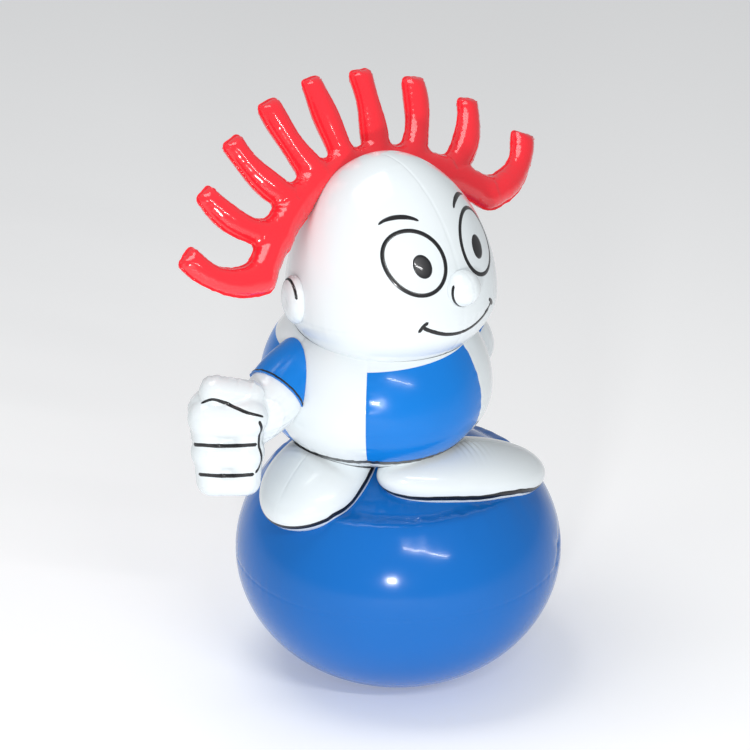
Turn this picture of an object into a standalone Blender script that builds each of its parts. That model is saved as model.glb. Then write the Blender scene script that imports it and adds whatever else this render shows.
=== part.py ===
# Inflatable man figure on a ball, of welded PVC film. Metres, +Z up.
# The origin is the centre of the flat spot on which the ball rests, and the figure faces -Y.
# Each air-filled piece is a solid of its own, 0.35 mm clear of the pieces it is welded to.

import math

import bmesh
import bpy
from mathutils import Matrix, Vector

# Clearance between pieces that are welded together
GAP = 0.00035

# The ball, and the dish that the figure presses into its top
BALL_RADIUS = 0.310
BALL_HALF_HEIGHT = 0.258
BALL_CENTRE_Z = 0.238
BALL_AROUND = 42
DISH_RADIUS = 0.228
DISH_DEPTH = 0.018
LIP_HALF_ANGLE = math.radians(5)

# The trunk of six upright panels, three wide ones and three narrow ones between them
TORSO_CENTRE = Vector((-0.045, -0.005, 0.590))
TORSO_RADIUS = 0.218
TORSO_UP = 0.200
TORSO_DOWN = 0.146
PANEL_PERIOD = math.radians(120)
WIDE_MIDDLE = math.radians(-75)
WIDE_HALF = math.radians(35)
SEAM_DIP = 0.012

# The head, a little narrower to its top, turned and leaning
HEAD_CENTRE = Vector((-0.022, -0.028, 0.783))
HEAD_RADIUS = 0.197
HEAD_UP = 0.265
HEAD_DOWN = 0.128
HEAD_TAPER = 0.10
HEAD_YAW = math.radians(28)
HEAD_LEAN = math.radians(4)
NOSE_RADIUS = 0.034
NOSE_HEIGHT = 0.052
EAR_HEIGHT = 0.024
EAR_BEHIND = math.radians(16)
EAR_SIZE = (0.024, 0.034, 0.046)

# One row for each foot: centre of the lobe, half sizes, where its toe points, and its fall to the toe
FEET = {
    "foot_right": {
        "centre": (-0.161, -0.064, 0.445),
        "half": (0.148, 0.107, 0.068),
        "yaw": math.radians(216),
        "fall": math.radians(21),
    },
    "foot_left": {
        "centre": (0.092, -0.107, 0.431),
        "half": (0.184, 0.102, 0.063),
        "yaw": math.radians(18.5),
        "fall": math.radians(12),
    },
}
HEEL_TAPER = 0.22

# One row for each arm: points along its centre line from inside the trunk to the palm, then the hand
ARMS = {
    "right": {
        "line": [(-0.165, -0.030, 0.665), (-0.228, -0.070, 0.645), (-0.284, -0.103, 0.610), (-0.342, -0.106, 0.577)],
        "hand": (-0.358, -0.129, 0.571),
        "turn": math.radians(-15),
        "side": 1,
    },
    "left": {
        "line": [(0.055, 0.020, 0.664), (0.110, 0.095, 0.664), (0.167, 0.130, 0.582), (0.132, 0.184, 0.560)],
        "hand": (0.108, 0.218, 0.548),
        "turn": math.radians(162),
        "side": -1,
    },
}
SLEEVE_SHARE = 0.50
SLEEVE_RADIUS = 0.062
WRIST_RADIUS = 0.057
CUFF_STEP = 0.003
# The fist is a full, boxy bag: two upright rolls side by side, narrower to the bottom
PALM_BOTTOM = Vector((0.018, 0.004, -0.066))
PALM_TOP = Vector((0.026, 0.004, 0.050))
PALM_BOTTOM_RADIUS = 0.040
PALM_TOP_RADIUS = 0.048
# Two upright rolls behind the fingers keep the valleys between them shallow
FRONT_BOTTOM = Vector((0.029, -0.018, -0.076))
FRONT_TOP = Vector((0.037, -0.018, 0.050))
FRONT_RADIUS = 0.031
# One row for each finger, top to bottom: height, radius and half length of its straight stretch
FINGERS = [(0.048, 0.038, 0.036), (-0.020, 0.034, 0.034), (-0.078, 0.030, 0.030)]
FINGER_FRONT = -0.020
THUMB_ROOT = Vector((0.038, 0.008, 0.078))
THUMB_TIP = Vector((-0.022, -0.010, 0.096))
THUMB_RADIUS = 0.031

# The crest of hair: a band over the crown and plain curved locks, all in one leaning plane
HAIR_CENTRE_HEIGHT = 0.045
HAIR_LEAN = math.radians(31)
BAND_HALF_SPAN = 0.285
BAND_TOP = 0.205
BAND_DROP = 1.70
BAND_RADIUS = 0.028
BAND_STEPS = 12
LOCKS = 9
LOCK_LENGTH = 0.160
LOCK_START = math.radians(98)
LOCK_END = math.radians(26)
LOCK_STEPS = 4
LOCK_ROOT_RADIUS = 0.027
LOCK_TIP_RADIUS = 0.0215

# How finely pieces made of many rounded shapes are fused, and the share of faces kept after it
HAND_VOXEL = 0.0115
HAIR_VOXEL = 0.0135
KEPT_FACES = 0.5

COLOURS = {
    "white": ((0.86, 0.89, 0.90), 0.22),
    "blue": ((0.02, 0.20, 0.72), 0.20),
    "red": ((0.78, 0.03, 0.05), 0.20),
}


def clear_scene():
    for thing in list(bpy.data.objects):
        bpy.data.objects.remove(thing)


def film(name):
    """The glossy PVC film of one colour."""
    found = bpy.data.materials.get(name)
    if found:
        return found
    colour, roughness = COLOURS[name]
    made = bpy.data.materials.new(name)
    made.use_nodes = True
    shader = made.node_tree.nodes["Principled BSDF"]
    shader.inputs["Base Color"].default_value = (*colour, 1.0)
    shader.inputs["Roughness"].default_value = roughness
    shader.inputs["Metallic"].default_value = 0.0
    return made


def finish(name, mesh_tool, colour, place=None):
    """Turns a bmesh into a named, smooth object with its film."""
    bmesh.ops.recalc_face_normals(mesh_tool, faces=mesh_tool.faces)
    mesh = bpy.data.meshes.new(name)
    mesh_tool.to_mesh(mesh)
    mesh_tool.free()
    mesh.materials.append(film(colour))
    mesh.shade_smooth()
    made = bpy.data.objects.new(name, mesh)
    bpy.context.scene.collection.objects.link(made)
    if place is not None:
        made.matrix_world = place
    return made


def lobe(name, around, upward, shape, colour, place=None):
    """A closed inflated body: a unit sphere with every point moved by the function shape."""
    tool = bmesh.new()
    bmesh.ops.create_uvsphere(tool, u_segments=around, v_segments=upward, radius=1.0)
    for vertex in tool.verts:
        vertex.co = shape(vertex.co.copy())
    return finish(name, tool, colour, place)


def offset_cutter(source):
    """A hidden copy of a piece, grown by the gap along its normals, for cutting what meets it."""
    cutter = source.copy()
    cutter.name = "cut_by_" + source.name
    bpy.context.scene.collection.objects.link(cutter)
    grow = cutter.modifiers.new("grow", "DISPLACE")
    grow.strength = GAP
    grow.mid_level = 0.0
    cutter.hide_render = True
    cutter.display_type = "WIRE"
    return cutter


def cut(piece, *cutters):
    """Takes away from a piece what the offset cutters cover."""
    for cutter in cutters:
        subtract = piece.modifiers.new("clear_" + cutter.name, "BOOLEAN")
        subtract.operation = "DIFFERENCE"
        subtract.solver = "EXACT"
        subtract.object = cutter


def smooth_step(value):
    value = min(1.0, max(0.0, value))
    return value * value * (3 - 2 * value)


def spread(first, last, count):
    """Evenly spaced values from the first up to, but without, the last."""
    return [first + (last - first) * i / count for i in range(count)]


def ball_rows():
    """Radius and height of each ring of the ball, from its flat spot up, closer at the lip of the dish."""
    flat = math.asin(-BALL_CENTRE_Z / BALL_HALF_HEIGHT)
    lip = math.acos(DISH_RADIUS / BALL_RADIUS)
    angles = spread(flat, lip - LIP_HALF_ANGLE, 10)
    angles += spread(lip - LIP_HALF_ANGLE, lip + LIP_HALF_ANGLE, 4)
    angles += spread(lip + LIP_HALF_ANGLE, math.pi / 2, 5)
    rows = []
    for angle in angles:
        sunk = DISH_DEPTH * smooth_step(0.5 + 0.5 * (angle - lip) / LIP_HALF_ANGLE)
        height = BALL_CENTRE_Z + BALL_HALF_HEIGHT * math.sin(angle) - sunk
        rows.append((BALL_RADIUS * math.cos(angle), height))
    return rows


def ball_base():
    """The squashed ball, flat where it rests and dished where the figure stands on it."""
    tool = bmesh.new()
    rings = []
    for radius, height in ball_rows():
        turns = [math.tau * i / BALL_AROUND for i in range(BALL_AROUND)]
        rings.append([tool.verts.new((radius * math.cos(t), radius * math.sin(t), height)) for t in turns])
    for low, high in zip(rings, rings[1:]):
        for i in range(BALL_AROUND):
            j = (i + 1) % BALL_AROUND
            tool.faces.new((low[i], low[j], high[j], high[i]))
    tool.faces.new(rings[0][::-1])
    top = tool.verts.new((0, 0, BALL_CENTRE_Z + BALL_HALF_HEIGHT - DISH_DEPTH))
    for i in range(BALL_AROUND):
        tool.faces.new((rings[-1][i], rings[-1][(i + 1) % BALL_AROUND], top))
    return finish("ball_base", tool, "blue")


def egg(point, radius, up, down, taper=0.0):
    """An ellipsoid with its own heights above and below its widest level, narrower to the top by taper."""
    height = up if point.z > 0 else down
    narrow = 1.0 - taper * max(0.0, point.z) ** 2
    return Vector((point.x * radius * narrow, point.y * radius * narrow, point.z * height))


def fullness(turn):
    """How far a turn of the trunk is from the seams beside it: 0 on a seam, 1 in the middle of a panel."""
    from_middle = abs((turn - WIDE_MIDDLE + PANEL_PERIOD / 2) % PANEL_PERIOD - PANEL_PERIOD / 2)
    from_seam = from_middle - WIDE_HALF
    panel_half = WIDE_HALF if from_seam < 0 else PANEL_PERIOD / 2 - WIDE_HALF
    return math.sin(abs(from_seam) / panel_half * math.pi / 2)


def torso():
    """The round trunk, with a shallow dip at the seams between its upright panels."""

    def shape(point):
        made = egg(point, TORSO_RADIUS, TORSO_UP, TORSO_DOWN)
        share = 1.0 - SEAM_DIP * (1.0 - fullness(math.atan2(point.y, point.x)) ** 0.5)
        return Vector((made.x * share, made.y * share, made.z))

    return lobe("torso", 36, 20, shape, "white", Matrix.Translation(TORSO_CENTRE))


def head_place():
    turn = Matrix.Rotation(HEAD_YAW, 4, "Z") @ Matrix.Rotation(-HEAD_LEAN, 4, "X")
    return Matrix.Translation(HEAD_CENTRE) @ turn


def head_shape(point):
    return egg(point, HEAD_RADIUS, HEAD_UP, HEAD_DOWN, HEAD_TAPER)


def head():
    return lobe("head", 36, 20, head_shape, "white", head_place())


def nose():
    """A small round nose, welded to the front of the head."""
    level = math.asin(NOSE_HEIGHT / HEAD_UP)
    seat = head_shape(Vector((0, -math.cos(level), math.sin(level))))
    place = head_place() @ Matrix.Translation(seat)
    return lobe("nose", 20, 12, lambda point: point * NOSE_RADIUS, "white", place)


def ear(name, side):
    """A round ear, a little behind the middle of the side of the head."""
    level = math.asin(EAR_HEIGHT / HEAD_UP)
    out = Vector((side * math.cos(EAR_BEHIND), math.sin(EAR_BEHIND), 0)) * math.cos(level)
    seat = head_shape(out + Vector((0, 0, math.sin(level))))
    place = head_place() @ Matrix.Translation(seat) @ Matrix.Rotation(side * EAR_BEHIND, 4, "Z")

    def shape(point):
        return Vector((point.x * EAR_SIZE[0], point.y * EAR_SIZE[1], point.z * EAR_SIZE[2]))

    return lobe(name, 16, 12, shape, "white", place)


def foot(name, row):
    """A shoe-shaped lobe, wide at the toe, lying down over the shoulder of the ball."""
    long, wide, high = row["half"]

    def shape(point):
        widen = 1.0 - HEEL_TAPER * smooth_step(0.5 - 0.5 * point.x)
        return Vector((point.x * long, point.y * wide * widen, point.z * high))

    place = (
        Matrix.Translation(row["centre"])
        @ Matrix.Rotation(row["yaw"], 4, "Z")
        @ Matrix.Rotation(row["fall"], 4, "Y")
    )
    return lobe(name, 28, 14, shape, "white", place)


def curve_point(points, share):
    """A point on a smooth Catmull-Rom curve through the given points, at a share of its spans."""
    spans = len(points) - 1
    at = min(max(share, 0.0), 1.0) * spans
    span = min(int(at), spans - 1)
    local = at - span
    here, there = Vector(points[span]), Vector(points[span + 1])
    before = Vector(points[span - 1]) if span > 0 else 2 * here - there
    after = Vector(points[span + 2]) if span + 2 <= spans else 2 * there - here
    return 0.5 * (
        2 * here
        + (there - before) * local
        + (2 * before - 5 * here + 4 * there - after) * local**2
        + (3 * here - before - 3 * there + after) * local**3
    )


def arm_radius(share):
    return SLEEVE_RADIUS + (WRIST_RADIUS - SLEEVE_RADIUS) * share


def sleeve(name, line, around=20, rings=9):
    """The blue upper stretch of an arm: a closed tube, flat at both ends."""
    tool = bmesh.new()
    loops = []
    for ring in range(rings):
        share = SLEEVE_SHARE * ring / (rings - 1)
        centre = curve_point(line, share)
        ahead = (curve_point(line, share + 0.01) - curve_point(line, share - 0.01)).normalized()
        across = ahead.cross(Vector((0, 0, 1))).normalized()
        over = across.cross(ahead)
        loop = []
        for i in range(around):
            turn = math.tau * i / around
            out = math.cos(turn) * across + math.sin(turn) * over
            loop.append(tool.verts.new(centre + arm_radius(share) * out))
        loops.append(loop)
    for near, far in zip(loops, loops[1:]):
        for i in range(around):
            j = (i + 1) % around
            tool.faces.new((near[i], near[j], far[j], far[i]))
    tool.faces.new(loops[0])
    tool.faces.new(loops[-1])
    return finish(name, tool, "blue")


def capsule(tool, start, end, start_radius, end_radius, around=14, rings=7):
    """A closed sausage between two points, added to a bmesh for fusing."""
    start, end = Vector(start), Vector(end)
    turn = (end - start).to_track_quat("Z", "Y").to_matrix()
    made = bmesh.ops.create_uvsphere(tool, u_segments=around, v_segments=2 * rings, radius=1.0)
    for vertex in made["verts"]:
        top = vertex.co.z > 1e-6
        radius = end_radius if top else start_radius
        base = end if top else start
        vertex.co = base + turn @ (vertex.co * radius)


def fuse(thing, voxel):
    """Joins the overlapping shapes of an object into one smooth skin of fewer faces."""
    remesh = thing.modifiers.new("fuse", "REMESH")
    remesh.mode = "VOXEL"
    remesh.voxel_size = voxel
    remesh.use_smooth_shade = True
    thin = thing.modifiers.new("thin", "DECIMATE")
    thin.ratio = KEPT_FACES


def hand(name, row):
    """A forearm and closed hand in one skin: the fist, three stacked fingers and a thumb over the top."""
    tool = bmesh.new()
    place = Matrix.Translation(row["hand"]) @ Matrix.Rotation(row["turn"], 4, "Z")
    back = place.inverted()
    side = row["side"]
    inside_cuff = SLEEVE_SHARE - 0.04
    shares = spread(inside_cuff, 1.0, 5) + [1.0]
    for near, far in zip(shares, shares[1:]):
        start = back @ curve_point(row["line"], near)
        end = back @ curve_point(row["line"], far)
        capsule(tool, start, end, arm_radius(near) - CUFF_STEP, arm_radius(far) - CUFF_STEP)
    for mirror in (Vector((1, 1, 1)), Vector((-1, 1, 1))):
        capsule(tool, PALM_BOTTOM * mirror, PALM_TOP * mirror, PALM_BOTTOM_RADIUS, PALM_TOP_RADIUS)
        capsule(tool, FRONT_BOTTOM * mirror, FRONT_TOP * mirror, FRONT_RADIUS, FRONT_RADIUS)
    for height, radius, half in FINGERS:
        capsule(tool, (-half, FINGER_FRONT, height), (half, FINGER_FRONT, height), radius, radius)
    to_side = Vector((side, 1, 1))
    capsule(tool, THUMB_ROOT * to_side, THUMB_TIP * to_side, THUMB_RADIUS, THUMB_RADIUS)
    made = finish(name, tool, "white", place)
    fuse(made, HAND_VOXEL)
    return made


def band_height(across):
    return BAND_TOP - BAND_DROP * across**2


def lock_line(number):
    """Points along one lock in the plane of the hair: an arc that leaves the band and turns upward."""
    middle = (LOCKS - 1) / 2
    share = (number - middle) / middle
    point = Vector((share * BAND_HALF_SPAN, 0, band_height(share * BAND_HALF_SPAN)))
    points = [point.copy()]
    for step in range(LOCK_STEPS):
        along = (step + 0.5) / LOCK_STEPS
        heading = share * (LOCK_START + (LOCK_END - LOCK_START) * along)
        point = point + Vector((math.sin(heading), 0, math.cos(heading))) * LOCK_LENGTH / LOCK_STEPS
        points.append(point.copy())
    return points


def hair_place():
    lift = Matrix.Translation((0, 0, HAIR_CENTRE_HEIGHT))
    lean = Matrix.Rotation(-HAIR_LEAN, 4, "X")
    return head_place() @ lift @ lean


def tapered_chain(tool, points, first_radius, last_radius):
    """Sausages end to end along points, from the first radius to the last."""
    spans = len(points) - 1
    for i in range(spans):
        near = first_radius + (last_radius - first_radius) * i / spans
        far = first_radius + (last_radius - first_radius) * (i + 1) / spans
        capsule(tool, points[i], points[i + 1], near, far, around=12, rings=5)


def hair():
    """A band of film over the crown with plain curved locks, fused into one air-filled body."""
    tool = bmesh.new()
    across = spread(-BAND_HALF_SPAN, BAND_HALF_SPAN, BAND_STEPS) + [BAND_HALF_SPAN]
    tapered_chain(tool, [Vector((w, 0, band_height(w))) for w in across], BAND_RADIUS, BAND_RADIUS)
    for number in range(LOCKS):
        tapered_chain(tool, lock_line(number), LOCK_ROOT_RADIUS, LOCK_TIP_RADIUS)
    made = finish("hair", tool, "red", hair_place())
    fuse(made, HAIR_VOXEL)
    return made


def build():
    """Makes every piece, each cut clear of the pieces that it is welded to."""
    clear_scene()
    ball = ball_base()
    skull = head()
    trunk = torso()
    over_ball = offset_cutter(ball)
    over_head = offset_cutter(skull)
    over_trunk = offset_cutter(trunk)
    cut(trunk, over_head, over_ball)
    for name, row in FEET.items():
        cut(foot(name, row), over_ball, over_trunk)
    cut(nose(), over_head)
    cut(ear("ear_right", -1), over_head)
    cut(ear("ear_left", 1), over_head)
    cut(hair(), over_head)
    for side, row in ARMS.items():
        upper = sleeve("sleeve_" + side, row["line"])
        over_sleeve = offset_cutter(upper)
        cut(upper, over_trunk, over_head)
        cut(hand("hand_" + side, row), over_sleeve, over_trunk)


build()
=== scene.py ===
# Looks of the inflatable man figure on a ball: glossy welded PVC film, full of air. Metres, +Z up.
# Every lobe is modelled finely from the same sizes as its solid, with welds, puckers and printed lines.

import math

import bmesh
import bpy
import numpy as np
from mathutils import Matrix, Vector
from mathutils.bvhtree import BVHTree
from mathutils.geometry import delaunay_2d_cdt


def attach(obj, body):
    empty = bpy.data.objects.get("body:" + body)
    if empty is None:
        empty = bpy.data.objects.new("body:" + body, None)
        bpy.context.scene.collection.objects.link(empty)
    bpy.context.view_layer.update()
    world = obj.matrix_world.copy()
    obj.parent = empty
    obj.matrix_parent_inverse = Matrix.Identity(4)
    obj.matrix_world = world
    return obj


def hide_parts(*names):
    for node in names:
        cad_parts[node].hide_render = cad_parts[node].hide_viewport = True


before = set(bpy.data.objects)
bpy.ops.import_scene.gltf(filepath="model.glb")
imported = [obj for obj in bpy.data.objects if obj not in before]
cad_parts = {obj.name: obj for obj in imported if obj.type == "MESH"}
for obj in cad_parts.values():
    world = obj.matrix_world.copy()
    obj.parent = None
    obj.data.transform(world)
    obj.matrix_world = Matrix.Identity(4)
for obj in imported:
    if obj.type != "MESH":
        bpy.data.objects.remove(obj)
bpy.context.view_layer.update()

TAU = 2 * math.pi
GAP = 0.0004

# The ball and the dish under the figure
BALL_RADIUS = 0.310
BALL_HALF_HEIGHT = 0.258
BALL_CENTRE_Z = 0.238
DISH_RADIUS = 0.228
DISH_DEPTH = 0.018
LIP_HALF_WIDTH = 0.020

# The trunk, its three wide blue panels with white ones between, and a white collar that tilts a little
TORSO_CENTRE = (-0.045, -0.005, 0.590)
TORSO_RADIUS = 0.218
TORSO_UP = 0.200
TORSO_DOWN = 0.146
PANEL_PERIOD = math.radians(120)
WIDE_MIDDLE = math.radians(-75)
WIDE_HALF = math.radians(35)
HEM_LEVEL = math.radians(-36)
HEM_WIDTH = 0.020
COLLAR_LEVEL = math.radians(33.3)
COLLAR_TILT = math.radians(2.5)
COLLAR_LOWEST = math.radians(-150)

# The head and what is welded to it
HEAD_CENTRE = (-0.022, -0.028, 0.783)
HEAD_RADIUS = 0.197
HEAD_UP = 0.265
HEAD_DOWN = 0.128
HEAD_TAPER = 0.10
HEAD_YAW = math.radians(28)
HEAD_LEAN = math.radians(4)
NOSE_RADIUS = 0.034
NOSE_HEIGHT = 0.052
EAR_HEIGHT = 0.024
EAR_BEHIND = math.radians(16)
EAR_SIZE = (0.024, 0.034, 0.046)

# The face printed on the head: places across and up from the head's centre, and half sizes
EYE_ACROSS = 0.074
EYE_HEIGHT = 0.112
EYE_HALF = (0.050, 0.056)
PUPIL_HALF = (0.017, 0.022)
PUPIL_SHIFT = 0.006
BROW_HEIGHT = 0.190
BROW_HALF = (0.040, 0.028)
BROW_START = math.radians(140)
BROW_END = math.radians(40)
MOUTH_HALF = 0.086
MOUTH_HEIGHT = -0.004
MOUTH_DROP = 0.030
MOUTH_CORNER = ((-0.010, 0.009), (0.0, 0.002), (0.007, -0.009))

# The feet: centre of the lobe, half sizes, where the toe points, and the fall to the toe
FEET = {
    "foot_right": {
        "centre": (-0.161, -0.064, 0.445),
        "half": (0.148, 0.107, 0.068),
        "yaw": math.radians(216),
        "fall": math.radians(21),
        "sole_lowest": -0.12,
    },
    "foot_left": {
        "centre": (0.092, -0.107, 0.431),
        "half": (0.184, 0.102, 0.063),
        "yaw": math.radians(18.5),
        "fall": math.radians(12),
        "sole_lowest": -0.42,
    },
}
HEEL_TAPER = 0.22
SOLE_CLEARANCE = 0.012
SOLE_WIDTH = 0.012

# The arms: points along the centre line from inside the trunk to the palm, then the hand
ARMS = {
    "right": {
        "line": [
            (-0.165, -0.030, 0.665),
            (-0.228, -0.070, 0.645),
            (-0.284, -0.103, 0.610),
            (-0.342, -0.106, 0.577),
        ],
        "hand": (-0.358, -0.129, 0.571),
        "turn": math.radians(-15),
        "side": 1,
    },
    "left": {
        "line": [
            (0.055, 0.020, 0.664),
            (0.110, 0.095, 0.664),
            (0.167, 0.130, 0.582),
            (0.132, 0.184, 0.560),
        ],
        "hand": (0.108, 0.218, 0.548),
        "turn": math.radians(162),
        "side": -1,
    },
}
SLEEVE_SHARE = 0.50
SLEEVE_RADIUS = 0.062
WRIST_RADIUS = 0.057
CUFF_STEP = 0.003
PALM_BOTTOM = Vector((0.018, 0.004, -0.066))
PALM_TOP = Vector((0.026, 0.004, 0.050))
PALM_BOTTOM_RADIUS = 0.040
PALM_TOP_RADIUS = 0.048
FRONT_BOTTOM = Vector((0.029, -0.018, -0.076))
FRONT_TOP = Vector((0.037, -0.018, 0.050))
FRONT_RADIUS = 0.031
FINGERS = [(0.048, 0.038, 0.036), (-0.020, 0.034, 0.034), (-0.078, 0.030, 0.030)]
FINGER_FRONT = -0.020
THUMB_ROOT = Vector((0.038, 0.008, 0.078))
THUMB_TIP = Vector((-0.022, -0.010, 0.096))
THUMB_RADIUS = 0.031
HAND_VOXEL = 0.0028

# The lines printed on a hand, across and up from its middle, as they are seen from the front and above
HAND_LOOK_DOWN = math.radians(25)
FINGER_LINES = ((-0.013, -0.062, 0.054), (-0.068, -0.054, 0.048))
FINGER_LINE_SAG = 0.003
TIP_LINE = (
    (0.058, 0.030),
    (0.062, 0.012),
    (0.057, -0.012),
    (0.061, -0.030),
    (0.058, -0.052),
    (0.050, -0.066),
)
THUMB_LINE = (
    (-0.048, 0.062),
    (-0.026, 0.069),
    (-0.004, 0.063),
    (0.018, 0.053),
    (0.040, 0.044),
    (0.066, 0.037),
)

# The crest of hair, in its own leaning plane
HAIR_CENTRE_HEIGHT = 0.045
HAIR_LEAN = math.radians(31)
BAND_HALF_SPAN = 0.285
BAND_TOP = 0.205
BAND_DROP = 1.70
BAND_RADIUS = 0.028
BAND_STEPS = 12
LOCKS = 9
LOCK_LENGTH = 0.160
LOCK_START = math.radians(98)
LOCK_END = math.radians(26)
LOCK_STEPS = 8
LOCK_ROOT_RADIUS = 0.027
LOCK_TIP_RADIUS = 0.0215
TIP_REACH = 0.014
TUBE_UNEVEN = 0.07
TUBE_WAVES = 1.4
WEB_RADIUS = 0.016
FLANGE_WIDTH = 0.0030
FLANGE_HALF = 0.0005
CREST_SPACING = 0.0030
CREST_PITCH = 0.0045
CREST_ROWS = (0.0006, 0.0018, 0.0040)
CREST_INNER = 0.0066
CREST_FOLD = 0.011
CREST_FOLD_REACH = 0.008

# Grids stop this far from their poles, as an angle
POLE_GAP = 0.03

# Printed lines: their widths, and how far they stand above the film
INK_WIDTH = 0.0085
BROW_INK = 0.0100
MOUTH_CORNER_INK = 0.0075
NOSE_INK = 0.0062
EAR_INK = 0.0058
HEM_INK = 0.0042
FINGER_INK = 0.0080
TIP_INK = 0.0070
THUMB_INK = 0.0075
INK_LIFT = 0.00035

# The studio
VIEW_AZIMUTH = math.radians(-15)
VIEW_ELEVATION = math.radians(25)
VIEW_DISTANCE = 9.0
VIEW_TARGET = Vector((-0.0068, 0.1433, 0.531))
VIEW_WIDTH = 1.4265
LIGHT_AIM = (0, 0, 0.5)
LIGHTS = {
    "key": {
        "place": (-1.15, -3.40, 1.10),
        "size": (0.30, 0.24),
        "power": 50,
        "along": (1, 0, 0),
    },
    "top": {
        "place": (-0.9, 0.2, 3.5),
        "size": (2.0, 1.6),
        "power": 42,
        "along": (1, 0, 0),
    },
    "strip": {
        "place": (0.35, -2.88, 2.30),
        "size": (1.80, 0.05),
        "power": 28,
        "along": (1.78, -0.22, -0.61),
    },
}
WORLD_COLOUR = (0.96, 0.98, 1.0, 1)
WORLD_STRENGTH = 0.42
FLOOR_HALF = 14.0
FLOOR_GLOW = 0.16


def smooth_step(value):
    value = np.clip(value, 0.0, 1.0)
    return value * value * (3 - 2 * value)


def ripple(turn, count):
    """Uneven waves of about -1 to 1, count of them in a full turn, that meet where the turn closes."""
    waves = ((1.0, 1.0, 0.0), (1.61, 0.7, 1.1), (2.37, 0.45, 2.9), (0.43, 0.6, 4.2))
    return sum(size * np.sin(round(count * rate) * turn + shift) for rate, size, shift in waves) / 1.7


def swell(points, length):
    """A slow, uneven rise and fall over space, of about -1 to 1."""
    waves = ((0.9, 0.3, 0.2, 0.5), (-0.4, 0.8, 0.3, 1.7), (0.2, -0.5, 0.9, 3.1), (0.6, 0.6, -0.7, 4.4))
    total = 0.0
    for x, y, z, shift in waves:
        total = total + np.sin((points @ np.array((x, y, z))) * TAU / length + shift)
    return total / 2.5


def pucker(across, turn, count, reach):
    """Small folds beside a weld: across is the distance from it, turn the way along it."""
    uneven = reach * (1.0 + 0.5 * ripple(turn, max(2, count / 5)))
    return ripple(turn, count) * np.exp(-np.abs(across) / uneven)


def groove(across, width):
    """1 on a weld, falling away to both sides within width."""
    return np.exp(-((across / width) ** 2))


def crease(points, start, end, width):
    """1 on a straight line between two points, falling away within width and to both ends."""
    start, run = np.array(start), np.array(end) - np.array(start)
    along = (points - start) @ run / (run @ run)
    near = start + np.clip(along, 0, 1)[..., None] * run
    gap = np.linalg.norm(points - near, axis=-1)
    return np.exp(-((gap / width) ** 2)) * (0.35 + 0.65 * np.sin(math.pi * np.clip(along, 0.0, 1.0)))


def turns_along(first, sweep, count):
    """Even turns from the first one over the sweep."""
    return [first + sweep * i / (count - 1) for i in range(count)]


def placed(points, place):
    """Points moved by a 4x4 matrix."""
    moved = np.array(place)
    return points @ moved[:3, :3].T + moved[:3, 3]


def new_object(name, points, faces, films):
    mesh = bpy.data.meshes.new(name)
    mesh.from_pydata(points.tolist(), [], faces)
    for item in films:
        mesh.materials.append(item)
    mesh.shade_smooth()
    made = bpy.data.objects.new(name, mesh)
    bpy.context.scene.collection.objects.link(made)
    return made


def grid_faces(columns, rows):
    """Quads of a grid that closes round, with a fan at the first and the last level."""
    faces = []
    for row in range(rows - 1):
        low, high = row * columns, (row + 1) * columns
        for i in range(columns):
            j = (i + 1) % columns
            faces.append((low + i, low + j, high + j, high + i))
    bottom, top = rows * columns, rows * columns + 1
    last = (rows - 1) * columns
    faces += [(bottom, (i + 1) % columns, i) for i in range(columns)]
    faces += [(last + i, last + (i + 1) % columns, top) for i in range(columns)]
    return faces


def lobe(name, films, base, relief, columns, levels, place=None, panel=None):
    """A closed body on a grid of turns and levels: a base form with relief along its normals."""
    turns = np.arange(columns) * TAU / columns
    turn, level = np.meshgrid(turns, levels)
    points = base(turn, level)
    step = 1e-4
    normal = np.cross(base(turn + step, level) - points, base(turn, level + step) - points)
    normal /= np.linalg.norm(normal, axis=-1, keepdims=True)
    points = points + normal * relief(turn, level, points)[..., None]
    poles = base(np.zeros(2), np.array((-math.pi / 2, math.pi / 2)))
    points = np.vstack((points.reshape(-1, 3), poles))
    if place is not None:
        points = placed(points, place)
    made = new_object(name, points, grid_faces(columns, len(levels)), films)
    if panel is not None:
        middle_turn, middle_level = np.meshgrid(turns + TAU / columns / 2, (levels[:-1] + levels[1:]) / 2)
        index = panel(middle_turn, middle_level).astype(np.int32).ravel()
        index = np.concatenate((index, np.zeros(2 * columns, np.int32)))
        made.data.polygons.foreach_set("material_index", index)
    return made


def even_levels(count):
    return (np.arange(count) + 0.5) / count * math.pi - math.pi / 2


def plain(turn, level, points):
    return np.full(turn.shape, GAP)


def cutter(base, place=None):
    """The plain form of a lobe, a little larger, which clears room for it in its neighbours."""
    made = lobe("cutter", [], base, plain, 120, even_levels(80), place)
    made.hide_render = True
    return made


def clear(piece, *cutters):
    """Takes from a piece what its neighbours' plain forms cover."""
    for other in cutters:
        subtract = piece.modifiers.new("clear", "BOOLEAN")
        subtract.operation = "DIFFERENCE"
        subtract.solver = "EXACT"
        subtract.object = other
    shown = piece.evaluated_get(bpy.context.evaluated_depsgraph_get())
    piece_mesh = bpy.data.meshes.new_from_object(shown)
    piece.modifiers.clear()
    piece.data = piece_mesh
    piece_mesh.set_sharp_from_angle(angle=math.radians(50))


# Films


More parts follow.
